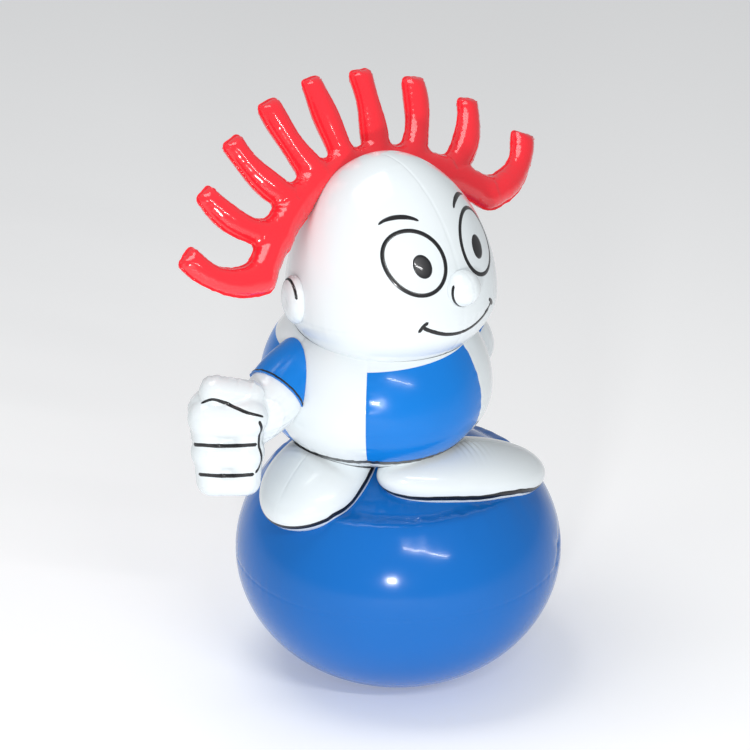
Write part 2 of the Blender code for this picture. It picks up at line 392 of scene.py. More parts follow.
def film(name, colour, variation, roughness, specular=0.35, coat=0.3):
    """Glossy PVC film: an even colour with faint clouding, and gloss that is a little uneven."""
    made = bpy.data.materials.new(name)
    made.use_nodes = True
    nodes, links = made.node_tree.nodes, made.node_tree.links
    shader = nodes["Principled BSDF"]
    where = nodes.new("ShaderNodeTexCoord")
    cloud = nodes.new("ShaderNodeTexNoise")
    cloud.inputs["Scale"].default_value = 5.0
    cloud.inputs["Detail"].default_value = 3.0
    tint = nodes.new("ShaderNodeMix")
    tint.data_type = "RGBA"
    tint.inputs["A"].default_value = (*[c * (1 - variation) for c in colour], 1)
    tint.inputs["B"].default_value = (*[min(1.0, c * (1 + variation)) for c in colour], 1)
    wear = nodes.new("ShaderNodeTexNoise")
    wear.inputs["Scale"].default_value = 22.0
    wear.inputs["Detail"].default_value = 5.0
    gloss = nodes.new("ShaderNodeMapRange")
    gloss.inputs["To Min"].default_value = roughness * 0.75
    gloss.inputs["To Max"].default_value = roughness * 1.35
    skin = nodes.new("ShaderNodeTexNoise")
    skin.inputs["Scale"].default_value = 34.0
    skin.inputs["Detail"].default_value = 2.0
    bump = nodes.new("ShaderNodeBump")
    bump.inputs["Strength"].default_value = 0.10
    bump.inputs["Distance"].default_value = 0.0012
    for noise in (cloud, wear, skin):
        links.new(where.outputs["Object"], noise.inputs["Vector"])
    links.new(cloud.outputs["Fac"], tint.inputs["Factor"])
    links.new(tint.outputs["Result"], shader.inputs["Base Color"])
    links.new(wear.outputs["Fac"], gloss.inputs["Value"])
    links.new(gloss.outputs["Result"], shader.inputs["Roughness"])
    links.new(skin.outputs["Fac"], bump.inputs["Height"])
    links.new(bump.outputs["Normal"], shader.inputs["Normal"])
    shader.inputs["Specular IOR Level"].default_value = specular
    shader.inputs["Coat Weight"].default_value = coat
    shader.inputs["Coat Roughness"].default_value = 0.05
    return made


FILMS = {
    "white": film("film_white", (0.74, 0.79, 0.81), 0.03, 0.17),
    "ball_blue": film("film_ball_blue", (0.006, 0.135, 0.48), 0.06, 0.16, specular=0.22, coat=0.12),
    "blue": film("film_panel_blue", (0.005, 0.185, 0.62), 0.05, 0.20, specular=0.22, coat=0.12),
    "red": film("film_red", (0.86, 0.020, 0.034), 0.06, 0.15, specular=0.5, coat=0.4),
    "ink": film("ink_black", (0.008, 0.008, 0.010), 0.10, 0.30),
}


# Printed lines and spots


def smooth_path(points, closed, spacing):
    """A dense Catmull-Rom path through points."""
    points = [Vector(p) for p in points]
    count = len(points)
    spans = count if closed else count - 1
    path = []
    for span in range(spans):
        if closed:
            before, here, there, after = [points[(span + k) % count] for k in (-1, 0, 1, 2)]
        else:
            here, there = points[span], points[span + 1]
            before = points[span - 1] if span > 0 else 2 * here - there
            after = points[span + 2] if span + 2 < count else 2 * there - here
        steps = max(1, round((there - here).length / spacing))
        for step in range(steps):
            t = step / steps
            path.append(
                0.5
                * (
                    2 * here
                    + (there - before) * t
                    + (2 * before - 5 * here + 4 * there - after) * t**2
                    + (3 * here - before - 3 * there + after) * t**3
                )
            )
    if not closed:
        path.append(points[-1])
    return path


class Print:
    """Gathers printed lines and spots that lie on one piece, and joins them to it at the end."""

    SUNK_EDGE = -0.3
    SUNK_MIDDLE = -2.2
    SECTION = (
        (-1.0, SUNK_EDGE),
        (-0.72, 1.0),
        (0.0, 1.0),
        (0.72, 1.0),
        (1.0, SUNK_EDGE),
        (0.0, SUNK_MIDDLE),
    )
    MISSED_REACH = 0.3

    def __init__(self, piece):
        self.piece = piece
        self.tree = BVHTree.FromPolygons(
            [v.co.copy() for v in piece.data.vertices], [tuple(p.vertices) for p in piece.data.polygons]
        )
        self.points = []
        self.faces = []

    def nearest(self, point):
        spot, normal, _, _ = self.tree.find_nearest(point)
        return spot, normal

    def cast(self, origin, direction):
        """Where a ray meets the piece, or the piece's point nearest to its way if it passes by."""
        spot = self.tree.ray_cast(origin, direction)[0]
        return spot if spot is not None else self.nearest(origin + direction * self.MISSED_REACH)[0]

    def line(self, points, width=INK_WIDTH, closed=False, taper=0.0, spacing=0.003):
        """A thin raised ribbon along points, rounded or tapered at its ends."""
        path = [self.nearest(p)[0] for p in smooth_path(points, closed, spacing)]
        count = len(path)
        lengths = np.cumsum([0.0] + [(b - a).length for a, b in zip(path, path[1:])])
        first = len(self.points)
        for i, spot in enumerate(path):
            ahead = path[(i + 1) % count] if closed or i + 1 < count else spot
            behind = path[i - 1] if closed or i > 0 else spot
            normal = self.nearest(spot)[1]
            side = (ahead - behind).cross(normal).normalized()
            half = width / 2
            if not closed:
                to_end = min(lengths[i], lengths[-1] - lengths[i])
                round_end = math.sqrt(max(0.0, 1 - (1 - min(1.0, to_end / half)) ** 2))
                slim = 1 - taper * (1 - min(1.0, to_end / (0.35 * lengths[-1])))
                half *= max(0.12, round_end * slim)
            for across, lift in self.SECTION:
                at, up = self.nearest(spot + side * half * across)
                self.points.append(at + up * INK_LIFT * lift)
        sides = len(self.SECTION)
        for i in range(count if closed else count - 1):
            near, far = first + i * sides, first + (i + 1) % count * sides
            for k in range(sides):
                m = (k + 1) % sides
                self.faces.append((near + k, far + k, far + m, near + m))
        if not closed:
            self.faces.append(tuple(first + k for k in range(sides)))
            self.faces.append(tuple(first + (count - 1) * sides + k for k in reversed(range(sides))))

    def spot(self, find, half_across, half_up, rings=6, around=40):
        """A filled oval: find gives the point on the surface for an offset across and up."""
        first = len(self.points)
        at, up = self.nearest(find(0.0, 0.0))
        self.points += [at + up * INK_LIFT, at + up * INK_LIFT * self.SUNK_MIDDLE]
        for ring in range(1, rings + 1):
            share = ring / rings
            for i in range(around):
                turn = TAU * i / around
                across, rise = half_across * share * math.cos(turn), half_up * share * math.sin(turn)
                at, up = self.nearest(find(across, rise))
                self.points.append(at + up * INK_LIFT * (1.0 if ring < rings else self.SUNK_EDGE))
        ring_start = [first + 2 + around * ring for ring in range(rings)]
        for i in range(around):
            j = (i + 1) % around
            self.faces.append((first, ring_start[0] + i, ring_start[0] + j))
            for inner, outer in zip(ring_start, ring_start[1:]):
                self.faces.append((inner + i, outer + i, outer + j, inner + j))
            self.faces.append((first + 1, ring_start[-1] + j, ring_start[-1] + i))

    def join(self):
        """Adds the print to the piece, in the ink."""
        mesh = self.piece.data
        mesh.materials.append(FILMS["ink"])
        ink = len(mesh.materials) - 1
        tool = bmesh.new()
        tool.from_mesh(mesh)
        added = [tool.verts.new(p) for p in self.points]
        faces = []
        for corners in self.faces:
            face = tool.faces.new([added[i] for i in corners])
            face.material_index = ink
            face.smooth = True
            faces.append(face)
        bmesh.ops.recalc_face_normals(tool, faces=faces)
        tool.to_mesh(mesh)
        tool.free()


def dress(piece, node):
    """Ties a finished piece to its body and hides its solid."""
    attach(piece, "root")
    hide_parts(node)


# The ball


def ball_base_form(turn, level):
    radius = BALL_RADIUS * np.cos(level)
    height = BALL_CENTRE_Z + BALL_HALF_HEIGHT * np.sin(level)
    inward = (DISH_RADIUS - radius) / LIP_HALF_WIDTH
    sunk = DISH_DEPTH * smooth_step(0.5 + 0.5 * inward)
    roll = 0.0022 * np.exp(-(((radius - DISH_RADIUS - LIP_HALF_WIDTH) / 0.012) ** 2))
    height = np.where(level > 0, height - sunk + roll, height)
    soft = 0.003
    height = soft * np.logaddexp(0.0, height / soft)
    return np.stack((radius * np.cos(turn), radius * np.sin(turn), height), axis=-1)


def ball_relief(turn, level, points):
    from_seam = BALL_HALF_HEIGHT * level
    relief = -0.0006 * groove(from_seam, 0.003)
    relief += 0.0004 * pucker(from_seam, turn, 64, 0.014)
    relief += 0.0012 * swell(points, 0.42)
    from_lip = np.hypot(points[..., 0], points[..., 1]) - DISH_RADIUS
    upper = smooth_step((level - 0.2) / 0.3)
    relief += 0.0009 * upper * pucker(from_lip, turn, 26, 0.022)
    relief -= 0.0040 * crease(points, (0.300, -0.085, 0.285), (0.262, -0.172, 0.232), 0.011)
    relief -= 0.0022 * crease(points, (0.292, -0.105, 0.245), (0.268, -0.150, 0.285), 0.008)
    standing = smooth_step(points[..., 2] / 0.03)
    return relief * standing


def make_ball():
    lip = math.acos(DISH_RADIUS / BALL_RADIUS)
    levels = np.concatenate(
        (
            np.linspace(-math.pi / 2 + POLE_GAP, -0.10, 62),
            np.linspace(-0.09, 0.09, 26),
            np.linspace(0.10, lip - 0.10, 26),
            np.linspace(lip - 0.09, lip + 0.09, 34),
            np.linspace(lip + 0.10, math.pi / 2 - POLE_GAP, 18),
        )
    )
    made = lobe("ball_base_film", [FILMS["ball_blue"]], ball_base_form, ball_relief, 400, levels)
    dress(made, "ball_base")
    return made


# The trunk


def egg(turn, level, radius, up, down, taper=0.0):
    side, rise = np.cos(level), np.sin(level)
    narrow = 1.0 - taper * np.maximum(0.0, rise) ** 2
    out = side * radius * narrow
    height = np.where(rise > 0, up, down) * rise
    return np.stack((out * np.cos(turn), out * np.sin(turn), height), axis=-1)


def torso_form(turn, level):
    """The trunk, its grid pulled down or up so that one line of it is the collar's edge."""
    below = (level - HEM_LEVEL) / (COLLAR_LEVEL - HEM_LEVEL)
    above = (math.pi / 2 - level) / (math.pi / 2 - COLLAR_LEVEL)
    pull = COLLAR_TILT * np.cos(turn - COLLAR_LOWEST) * smooth_step(np.minimum(below, above))
    return egg(turn, level - pull, TORSO_RADIUS, TORSO_UP, TORSO_DOWN) + np.array(TORSO_CENTRE)


def from_panel_seam(turn):
    """The angle from the nearest upright seam, below zero on the wide panels."""
    from_middle = (turn - WIDE_MIDDLE + PANEL_PERIOD / 2) % PANEL_PERIOD - PANEL_PERIOD / 2
    return np.abs(from_middle) - WIDE_HALF


def torso_relief(turn, level, points):
    seam = from_panel_seam(turn)
    across = seam * TORSO_RADIUS * np.cos(level)
    panel_half = np.where(seam < 0, WIDE_HALF, PANEL_PERIOD / 2 - WIDE_HALF)
    relief = -0.0024 * np.cos(seam / panel_half * math.pi / 2) ** 6
    relief -= 0.0008 * groove(across, 0.0022)
    relief += 0.0006 * pucker(across, level + 0.3 * np.round(turn), 34, 0.012)
    from_hem = TORSO_DOWN * (level - HEM_LEVEL)
    relief -= 0.0016 * groove(from_hem, 0.005)
    relief += 0.0008 * pucker(from_hem, turn, 46, 0.012)
    relief += 0.0010 * swell(points, 0.33)
    return relief


def torso_panel(turn, level):
    """Blue on the wide panels, between the hem and the collar."""
    return (from_panel_seam(turn) < 0) & (level > HEM_LEVEL) & (level < COLLAR_LEVEL)


def make_torso(over_head, over_ball):
    levels = np.concatenate(
        (
            np.linspace(-math.pi / 2 + POLE_GAP, HEM_LEVEL - 0.02, 24, endpoint=False),
            np.linspace(HEM_LEVEL - 0.02, HEM_LEVEL, 4, endpoint=False),
            np.linspace(HEM_LEVEL, COLLAR_LEVEL, 84, endpoint=False),
            np.linspace(COLLAR_LEVEL, math.pi / 2 - POLE_GAP, 36),
        )
    )
    made = lobe(
        "torso_film",
        [FILMS["white"], FILMS["blue"]],
        torso_form,
        torso_relief,
        360,
        levels,
        panel=torso_panel,
    )
    ink = Print(made)
    turns = [TAU * i / 60 for i in range(60)]
    hem = [torso_form(np.array(t), np.array(HEM_LEVEL)) for t in turns]
    ink.line(hem, width=HEM_WIDTH, closed=True)
    clear(made, over_head, over_ball)
    ink.join()
    dress(made, "torso")
    return made


# The head, its face and its ears


def head_place():
    turn = Matrix.Rotation(HEAD_YAW, 4, "Z") @ Matrix.Rotation(-HEAD_LEAN, 4, "X")
    return Matrix.Translation(HEAD_CENTRE) @ turn


def head_form(turn, level):
    return egg(turn, level, HEAD_RADIUS, HEAD_UP, HEAD_DOWN, HEAD_TAPER)


def head_relief(turn, level, points):
    side = (turn + math.pi / 2 + math.pi) % TAU - math.pi
    middle = side * HEAD_RADIUS * np.cos(level)
    from_front = np.where(np.abs(side) < math.pi / 2, middle, 1.0)
    from_seam = HEAD_DOWN * (level + 0.10)
    relief = -0.0007 * groove(from_front, 0.0025) - 0.0007 * groove(from_seam, 0.0025)
    relief += 0.00030 * pucker(from_front, level, 30, 0.010)
    relief += 0.00035 * pucker(from_seam, turn, 52, 0.012)
    relief += 0.0010 * swell(points, 0.36)
    return relief


def print_face(ink, place):
    """A calm, plain face: round open eyes that look ahead, short brows and a slight smile."""
    toward = place.to_3x3() @ Vector((0, 1, 0))

    def seen(across, up):
        return ink.cast(place @ Vector((across, -0.5, up)), toward)

    def arc(across, up, half, turns):
        return [seen(across + half[0] * math.cos(t), up + half[1] * math.sin(t)) for t in turns]

    for side in (-1, 1):
        centre = side * EYE_ACROSS
        all_round = [TAU * i / 32 for i in range(32)]
        ink.line(arc(centre, EYE_HEIGHT, EYE_HALF, all_round), closed=True)
        look_in = centre - side * PUPIL_SHIFT

        def pupil(across, up, at=look_in):
            return seen(at + across, EYE_HEIGHT - PUPIL_SHIFT + up)

        ink.spot(pupil, *PUPIL_HALF)
        over = turns_along(BROW_START, BROW_END - BROW_START, 9)
        ink.line(arc(centre, BROW_HEIGHT - BROW_HALF[1], BROW_HALF, over), width=BROW_INK, taper=0.5)
    smile = []
    for share in turns_along(-1, 2, 15):
        smile.append(seen(MOUTH_HALF * share, MOUTH_HEIGHT - MOUTH_DROP * (1 - share**2)))
    ink.line(smile)
    for side in (-1, 1):
        corner = [seen(side * (MOUTH_HALF + out), MOUTH_HEIGHT + up) for out, up in MOUTH_CORNER]
        ink.line(corner, width=MOUTH_CORNER_INK)


def make_head():
    levels = np.concatenate(
        (
            np.linspace(-math.pi / 2 + POLE_GAP, 0.25, 86, endpoint=False),
            np.linspace(0.25, math.pi / 2 - POLE_GAP, 84),
        )
    )
    made = lobe("head_film", [FILMS["white"]], head_form, head_relief, 320, levels, head_place())
    ink = Print(made)
    print_face(ink, head_place())
    ink.join()
    dress(made, "head")
    return made


def nose_place():
    level = math.asin(NOSE_HEIGHT / HEAD_UP)
    seat = head_form(np.array(-math.pi / 2), np.array(level))
    return head_place() @ Matrix.Translation(seat)


def nose_form(turn, level):
    """Its poles are at the sides, so that the weld runs up over the middle."""
    made = egg(turn, level, NOSE_RADIUS, NOSE_RADIUS, NOSE_RADIUS)
    return made[..., (2, 0, 1)]


def nose_relief(turn, level, points):
    from_seam = NOSE_RADIUS * level
    return 0.0004 * pucker(from_seam, turn, 26, 0.006) - 0.0005 * groove(from_seam, 0.0016)


def make_nose(over_head):
    made = lobe("nose_film", [FILMS["white"]], nose_form, nose_relief, 120, even_levels(60), nose_place())
    ink = Print(made)
    place = nose_place()
    rim = []
    for turn in turns_along(math.radians(150), math.radians(240), 15):
        rim.append(place @ (Vector((math.cos(turn), -0.28, math.sin(turn))) * NOSE_RADIUS))
    ink.line(rim, width=NOSE_INK)
    clear(made, over_head)
    ink.join()
    dress(made, "nose")


def ear_place(side):
    level = math.asin(EAR_HEIGHT / HEAD_UP)
    out = -math.pi / 2 + side * (math.pi / 2 + EAR_BEHIND)
    seat = head_form(np.array(out), np.array(level))
    return head_place() @ Matrix.Translation(seat) @ Matrix.Rotation(side * EAR_BEHIND, 4, "Z")


def ear_form(turn, level):
    return egg(turn, level, 1.0, 1.0, 1.0) * np.array(EAR_SIZE)


def ear_relief(turn, level, points):
    hollow = np.exp(-((points[..., 1] / 0.014) ** 2) - (points[..., 2] / 0.020) ** 2)
    return 0.0004 * ripple(turn + 2 * level, 18) - 0.0045 * hollow


def make_ear(name, side, over_head):
    place = ear_place(side)
    made = lobe(name + "_film", [FILMS["white"]], ear_form, ear_relief, 100, even_levels(60), place)
    ink = Print(made)
    rim = []
    for turn in turns_along(math.radians(-75), math.radians(240), 17):
        back, up = -0.030 * math.cos(turn + math.pi), 0.042 * math.sin(turn)
        rim.append(place @ Vector((side * 0.010, back, up)))
    ink.line(rim, width=EAR_INK)
    clear(made, over_head)
    ink.join()
    dress(made, name)


# The feet


def foot_place(row):
    return (
        Matrix.Translation(row["centre"])
        @ Matrix.Rotation(row["yaw"], 4, "Z")
        @ Matrix.Rotation(row["fall"], 4, "Y")
    )


def foot_form(row):
    long, wide, high = row["half"]

    def form(turn, level):
        ahead, side, rise = np.cos(level) * np.cos(turn), np.cos(level) * np.sin(turn), np.sin(level)
        widen = 1.0 - HEEL_TAPER * smooth_step(0.5 - 0.5 * ahead)
        return np.stack((ahead * long, side * wide * widen, rise * high), axis=-1)

    return form


def foot_relief(row):
    def relief(turn, level, points):
        from_top = points[..., 1]
        made = -0.0006 * groove(from_top, 0.0022) * (level > 0)
        made += 0.0005 * pucker(from_top, points[..., 0] * 9, 6, 0.010) * (level > 0)
        made += 0.0008 * swell(points, 0.16)
        instep = crease(points, (-0.01, -0.050, row["half"][2]), (-0.01, 0.020, row["half"][2]), 0.030)
        made += 0.0011 * instep * np.sin(points[..., 0] * TAU / 0.013)
        return made

    return relief


def sole_line(row, tree):
    """Where the foot's film comes down close to the ball, or to its own underside, all round."""
    form, place = foot_form(row), np.array(foot_place(row))
    line = []
    for i in range(72):
        turn = np.full(120, TAU * i / 72)
        points = placed(form(turn, np.linspace(math.pi / 2 - 0.05, row["sole_lowest"], 120)), place)
        for point in points:
            spot, normal, _, _ = tree.find_nearest(Vector(point))
            if (Vector(point) - spot).dot(normal) < SOLE_CLEARANCE:
                break
        line.append(Vector(point))
    return line


def make_foot(name, row, ball, over_ball, over_torso):
    made = lobe(
        name + "_film",
        [FILMS["white"]],
        foot_form(row),
        foot_relief(row),
        220,
        even_levels(110),
        foot_place(row),
    )
    ink = Print(made)
    ball_tree = BVHTree.FromPolygons(
        [v.co.copy() for v in ball.data.vertices], [tuple(p.vertices) for p in ball.data.polygons]
    )
    ink.line(sole_line(row, ball_tree), width=SOLE_WIDTH, closed=True)
    clear(made, over_ball, over_torso)
    ink.join()
    dress(made, name)


# The arms


def curve_point(points, share):
    """A point on a smooth Catmull-Rom curve through the given points, at a share of its spans."""
    spans = len(points) - 1
    at = min(max(share, 0.0), 1.0) * spans
    span = min(int(at), spans - 1)
    t = at - span
    here, there = Vector(points[span]), Vector(points[span + 1])
    before = Vector(points[span - 1]) if span > 0 else 2 * here - there
    after = Vector(points[span + 2]) if span + 2 <= spans else 2 * there - here
    return 0.5 * (
        2 * here
        + (there - before) * t
        + (2 * before - 5 * here + 4 * there - after) * t**2
        + (3 * here - before - 3 * there + after) * t**3
    )


def arm_radius(share):
    return SLEEVE_RADIUS + (WRIST_RADIUS - SLEEVE_RADIUS) * share


def arm_frame(line, share):
    ahead = (curve_point(line, share + 0.01) - curve_point(line, share - 0.01)).normalized()
    across = ahead.cross(Vector((0, 0, 1))).normalized()
    return across, across.cross(ahead)


def sleeve_mesh(name, line, grow, films, around, shares):
    """A closed tube along the arm; without growth its hem is puckered and rolled."""
    points = []
    for share in shares:
        centre = curve_point(line, share)
        across, over = arm_frame(line, share)
        from_hem = (SLEEVE_SHARE - share) * 0.22
        for i in range(around):
            turn = TAU * i / around
            radius = arm_radius(share) + grow
            if grow == 0:
                radius += 0.0009 * math.exp(-from_hem / 0.010) * float(ripple(turn, 15))
                radius += 0.0012 * math.exp(-((from_hem / 0.0022) ** 2))
            points.append(tuple(centre + radius * (math.cos(turn) * across + math.sin(turn) * over)))
    points += [tuple(curve_point(line, share)) for share in (shares[0], shares[-1])]
    return new_object(name, np.array(points), grid_faces(around, len(shares)), films)


def make_sleeve(side, row, over_torso, over_head):
    shares = [0.42 * i / 24 for i in range(24)] + [0.42 + (SLEEVE_SHARE - 0.42) * i / 17 for i in range(18)]
    made = sleeve_mesh("sleeve_" + side + "_film", row["line"], 0.0, [FILMS["blue"]], 120, shares)
    made.data.set_sharp_from_angle(angle=math.radians(50))
    ink = Print(made)
    centre = curve_point(row["line"], SLEEVE_SHARE - 0.014)
    across, over = arm_frame(row["line"], SLEEVE_SHARE - 0.014)
    radius = arm_radius(SLEEVE_SHARE)
    turns = [TAU * i / 32 for i in range(32)]
    ring = [centre + radius * (math.cos(t) * across + math.sin(t) * over) for t in turns]
    ink.line(ring, width=HEM_INK, closed=True)
    clear(made, over_torso, over_head)
    ink.join()
    dress(made, "sleeve_" + side)
    covered = [(SLEEVE_SHARE + 0.002) * i / 13 for i in range(14)]
    over_sleeve = sleeve_mesh("cutter", row["line"], GAP, [], 48, covered)
    over_sleeve.hide_render = True
    return over_sleeve


def capsule(tool, start, end, start_radius, end_radius):
    """A closed sausage between two points, added to a bmesh for fusing."""
    start, end = Vector(start), Vector(end)
    turn = (end - start).to_track_quat("Z", "Y").to_matrix()
    made = bmesh.ops.create_uvsphere(tool, u_segments=32, v_segments=24, radius=1.0)
    for vertex in made["verts"]:
        top = vertex.co.z > 1e-6
        radius = end_radius if top else start_radius
        base = end if top else start
        vertex.co = base + turn @ (vertex.co * radius)


def hand_place(row):
    return Matrix.Translation(row["hand"]) @ Matrix.Rotation(row["turn"], 4, "Z")


def hand_body(name, row):
    """The fused and smoothed skin of a forearm, palm, three fingers and a thumb, in the hand's frame."""
    tool = bmesh.new()
    back = hand_place(row).inverted()
    side = row["side"]
    shares = [SLEEVE_SHARE - 0.04 + (1.04 - SLEEVE_SHARE) * i / 8 for i in range(9)]
    for near, far in zip(shares, shares[1:]):
        start = back @ curve_point(row["line"], near)
        end = back @ curve_point(row["line"], far)
        capsule(tool, start, end, arm_radius(near) - CUFF_STEP, arm_radius(far) - CUFF_STEP)
    for mirror in (Vector((1, 1, 1)), Vector((-1, 1, 1))):
        capsule(tool, PALM_BOTTOM * mirror, PALM_TOP * mirror, PALM_BOTTOM_RADIUS, PALM_TOP_RADIUS)
        capsule(tool, FRONT_BOTTOM * mirror, FRONT_TOP * mirror, FRONT_RADIUS, FRONT_RADIUS)
    for height, radius, half in FINGERS:
        capsule(tool, (-half, FINGER_FRONT, height), (half, FINGER_FRONT, height), radius, radius)
    to_side = Vector((side, 1, 1))
    capsule(tool, THUMB_ROOT * to_side, THUMB_TIP * to_side, THUMB_RADIUS, THUMB_RADIUS)
    mesh = bpy.data.meshes.new(name)
    tool.to_mesh(mesh)
    tool.free()
    made = bpy.data.objects.new(name, mesh)
    bpy.context.scene.collection.objects.link(made)
    remesh = made.modifiers.new("fuse", "REMESH")
    remesh.mode = "VOXEL"
    remesh.voxel_size = HAND_VOXEL
    relax = made.modifiers.new("relax", "SMOOTH")
    relax.factor = 0.5
    relax.iterations = 12
    shown = made.evaluated_get(bpy.context.evaluated_depsgraph_get())
    fused = bpy.data.meshes.new_from_object(shown)
    made.modifiers.clear()
    made.data = fused
    fused.shade_smooth()
    return made


def crumple_hand(made):
    """Puckers along the weld round the fist, between its front and its back film."""
    mesh = made.data
    points = np.empty(len(mesh.vertices) * 3)
    normals = np.empty(len(mesh.vertices) * 3)
    mesh.vertices.foreach_get("co", points)
    mesh.vertices.foreach_get("normal", normals)
    points, normals = points.reshape(-1, 3), normals.reshape(-1, 3)
    across = points[:, 1] - 0.002
    turn = np.arctan2(points[:, 2], points[:, 0])
    outer = smooth_step((np.hypot(points[:, 0], points[:, 2] * 0.6) - 0.035) / 0.02)
    relief = outer * (0.0013 * pucker(across, turn, 34, 0.011) + 0.0010 * groove(across, 0.0022))
    relief += 0.0006 * swell(points, 0.09)
    mesh.vertices.foreach_set("co", (points + normals * relief[:, None]).ravel())
    mesh.update()


def print_hand(ink, row):
    """Lines between the fingers, along their tips and under the thumb."""
    place = hand_place(row)
    side = row["side"]
    tilt = Matrix.Rotation(-HAND_LOOK_DOWN, 3, "X")
    toward = place.to_3x3() @ tilt @ Vector((0, 1, 0))

    def seen(across, up):
        return ink.cast(place @ (tilt @ Vector((side * across, -0.3, up))), toward)

    for up, left, right in FINGER_LINES:
        line = []
        for i in range(9):
            sag = FINGER_LINE_SAG * math.sin(math.pi * i / 8)
            line.append(seen(left + (right - left) * i / 8, up - sag))
        ink.line(line, width=FINGER_INK)
    ink.line([seen(*p) for p in TIP_LINE], width=TIP_INK)
    ink.line([seen(*p) for p in THUMB_LINE], width=THUMB_INK, taper=0.4)


def make_hand(side, row, over_sleeve, over_torso):
    made = hand_body("hand_" + side + "_film", row)
    made.data.materials.append(FILMS["white"])
    crumple_hand(made)
    made.data.transform(hand_place(row))
    ink = Print(made)
    print_hand(ink, row)
    clear(made, over_sleeve, over_torso)
    ink.join()
    dress(made, "hand_" + side)


# The crest of hair


def band_height(across):
    return BAND_TOP - BAND_DROP * across**2


def lock_line(number):
    """Points along one lock: an arc that leaves the band and turns upward."""
    middle = (LOCKS - 1) / 2
    share = (number - middle) / middle
    point = np.array((share * BAND_HALF_SPAN, band_height(share * BAND_HALF_SPAN)))
    points = [point]
    for step in range(LOCK_STEPS):
        heading = share * (LOCK_START + (LOCK_END - LOCK_START) * (step + 0.5) / LOCK_STEPS)
        point = point + np.array((math.sin(heading), math.cos(heading))) * LOCK_LENGTH / LOCK_STEPS
        points.append(point)
    return np.array(points)


def chain_distance(at, points, first_radius, last_radius, phase):
    """Signed distance from flat points to a tapered, slightly uneven tube, and its radius there."""
    run = np.diff(points, axis=0)
    offset = at[:, None] - points[:-1]
    along = np.clip((offset * run).sum(-1) / (run * run).sum(-1), 0, 1)
    share = (np.arange(len(run)) + along) / len(run)
    radius = first_radius + (last_radius - first_radius) * share
    radius *= 1.0 + TUBE_UNEVEN * np.sin(TAU * TUBE_WAVES * share + phase)
    gap = np.linalg.norm(offset - along[..., None] * run, axis=-1) - radius
    row, nearest = np.arange(len(at)), gap.argmin(axis=1)
    return gap[row, nearest], radius[row, nearest]


def soft_min(a, b, width):
    mix = np.clip(0.5 + 0.5 * (b - a) / width, 0, 1)
    return b + (a - b) * mix - width * mix * (1 - mix)


BAND_ACROSS = np.linspace(-BAND_HALF_SPAN, BAND_HALF_SPAN, BAND_STEPS + 1)
BAND_LINE = np.array([(w, band_height(w)) for w in BAND_ACROSS])
LOCK_LINES = [lock_line(number) for number in range(LOCKS)]


def hair_distance(at):
    """Signed distance from flat points to the outline of the whole crest, and the local tube radius."""
    whole, size = chain_distance(at, BAND_LINE, BAND_RADIUS, BAND_RADIUS, 0.0)
    for number, line in enumerate(LOCK_LINES):
        heading = (line[-1] - line[-2]) / np.linalg.norm(line[-1] - line[-2])
        long_line = np.vstack((line, line[-1] + heading * 0.03))
        gap, radius = chain_distance(at, long_line, LOCK_ROOT_RADIUS, LOCK_TIP_RADIUS, 2.3 * number)
        past_tip = (at - line[-1]) @ heading - TIP_REACH
        gap = -soft_min(-gap, -past_tip, 0.010)
        size = np.where(gap < whole, radius, size)
        whole = soft_min(whole, gap, WEB_RADIUS)
    return whole, size


def slope(at):
    """The direction of steepest rise of the crest's distance."""
    step = 0.0004
    right, up = np.array((step, 0.0)), np.array((0.0, step))
    four = np.vstack((at + right, at - right, at + up, at - up))
    value = hair_distance(four)[0].reshape(4, -1)
    rise = np.stack((value[0] - value[1], value[2] - value[3]), axis=1)
    return rise / np.maximum(1e-9, np.linalg.norm(rise, axis=1, keepdims=True))


def hair_outline(spacing):
    """Walks once round the edge of the crest."""
    at = np.array(((0.0, band_height(0.0) - BAND_RADIUS),))
    points = []
    start = None
    for _ in range(4000):
        for _ in range(2):
            out = slope(at)
            at = at - out * hair_distance(at)[0][:, None]
        if start is None:
            start = at.copy()
        elif len(points) > 20 and np.linalg.norm(at - start) < spacing * 0.8:
            break
        points.append(at[0])
        out = slope(at)
        at = at + np.stack((-out[:, 1], out[:, 0]), axis=1) * spacing
    return np.array(points)


def hair_bend(outline):
    """How strongly the edge bends at each of its points, evened out, from 0 to 1."""
    ahead = np.roll(outline, -3, axis=0) - outline
    behind = outline - np.roll(outline, 3, axis=0)
    cross = ahead[:, 0] * behind[:, 1] - ahead[:, 1] * behind[:, 0]
    bend = np.abs(cross) / (np.linalg.norm(ahead, axis=1) * np.linalg.norm(behind, axis=1))
    for _ in range(6):
        bend = (np.roll(bend, 1) + bend + np.roll(bend, -1)) / 3
    return np.clip(bend * 3.0, 0, 1)


def hair_place():
    lift = Matrix.Translation((0, 0, HAIR_CENTRE_HEIGHT))
    return head_place() @ lift @ Matrix.Rotation(-HAIR_LEAN, 4, "X")


def crest_sheet(outline, inward):
    """Flat triangles that fill the outline: even ones inside, and finer rows beside the weld."""
    count = len(outline)
    rows = [outline] + [outline + inward * depth for depth in CREST_ROWS]
    low, high = outline.min(0), outline.max(0)
    lattice = []
    for j, h in enumerate(np.arange(low[1], high[1], CREST_PITCH * 0.866)):
        for w in np.arange(low[0] + (j % 2) * CREST_PITCH / 2, high[0], CREST_PITCH):
            lattice.append((w, h))
    lattice = np.array(lattice)
    lattice = lattice[hair_distance(lattice)[0] < -CREST_INNER]
    flat = np.vstack(rows + [lattice])
    edges = [(i, (i + 1) % count) for i in range(count)]
    verts, _, faces, origin, _, _ = delaunay_2d_cdt([Vector(p) for p in flat], edges, [], 1, 1e-7)
    return np.array([tuple(v) for v in verts]), faces, origin


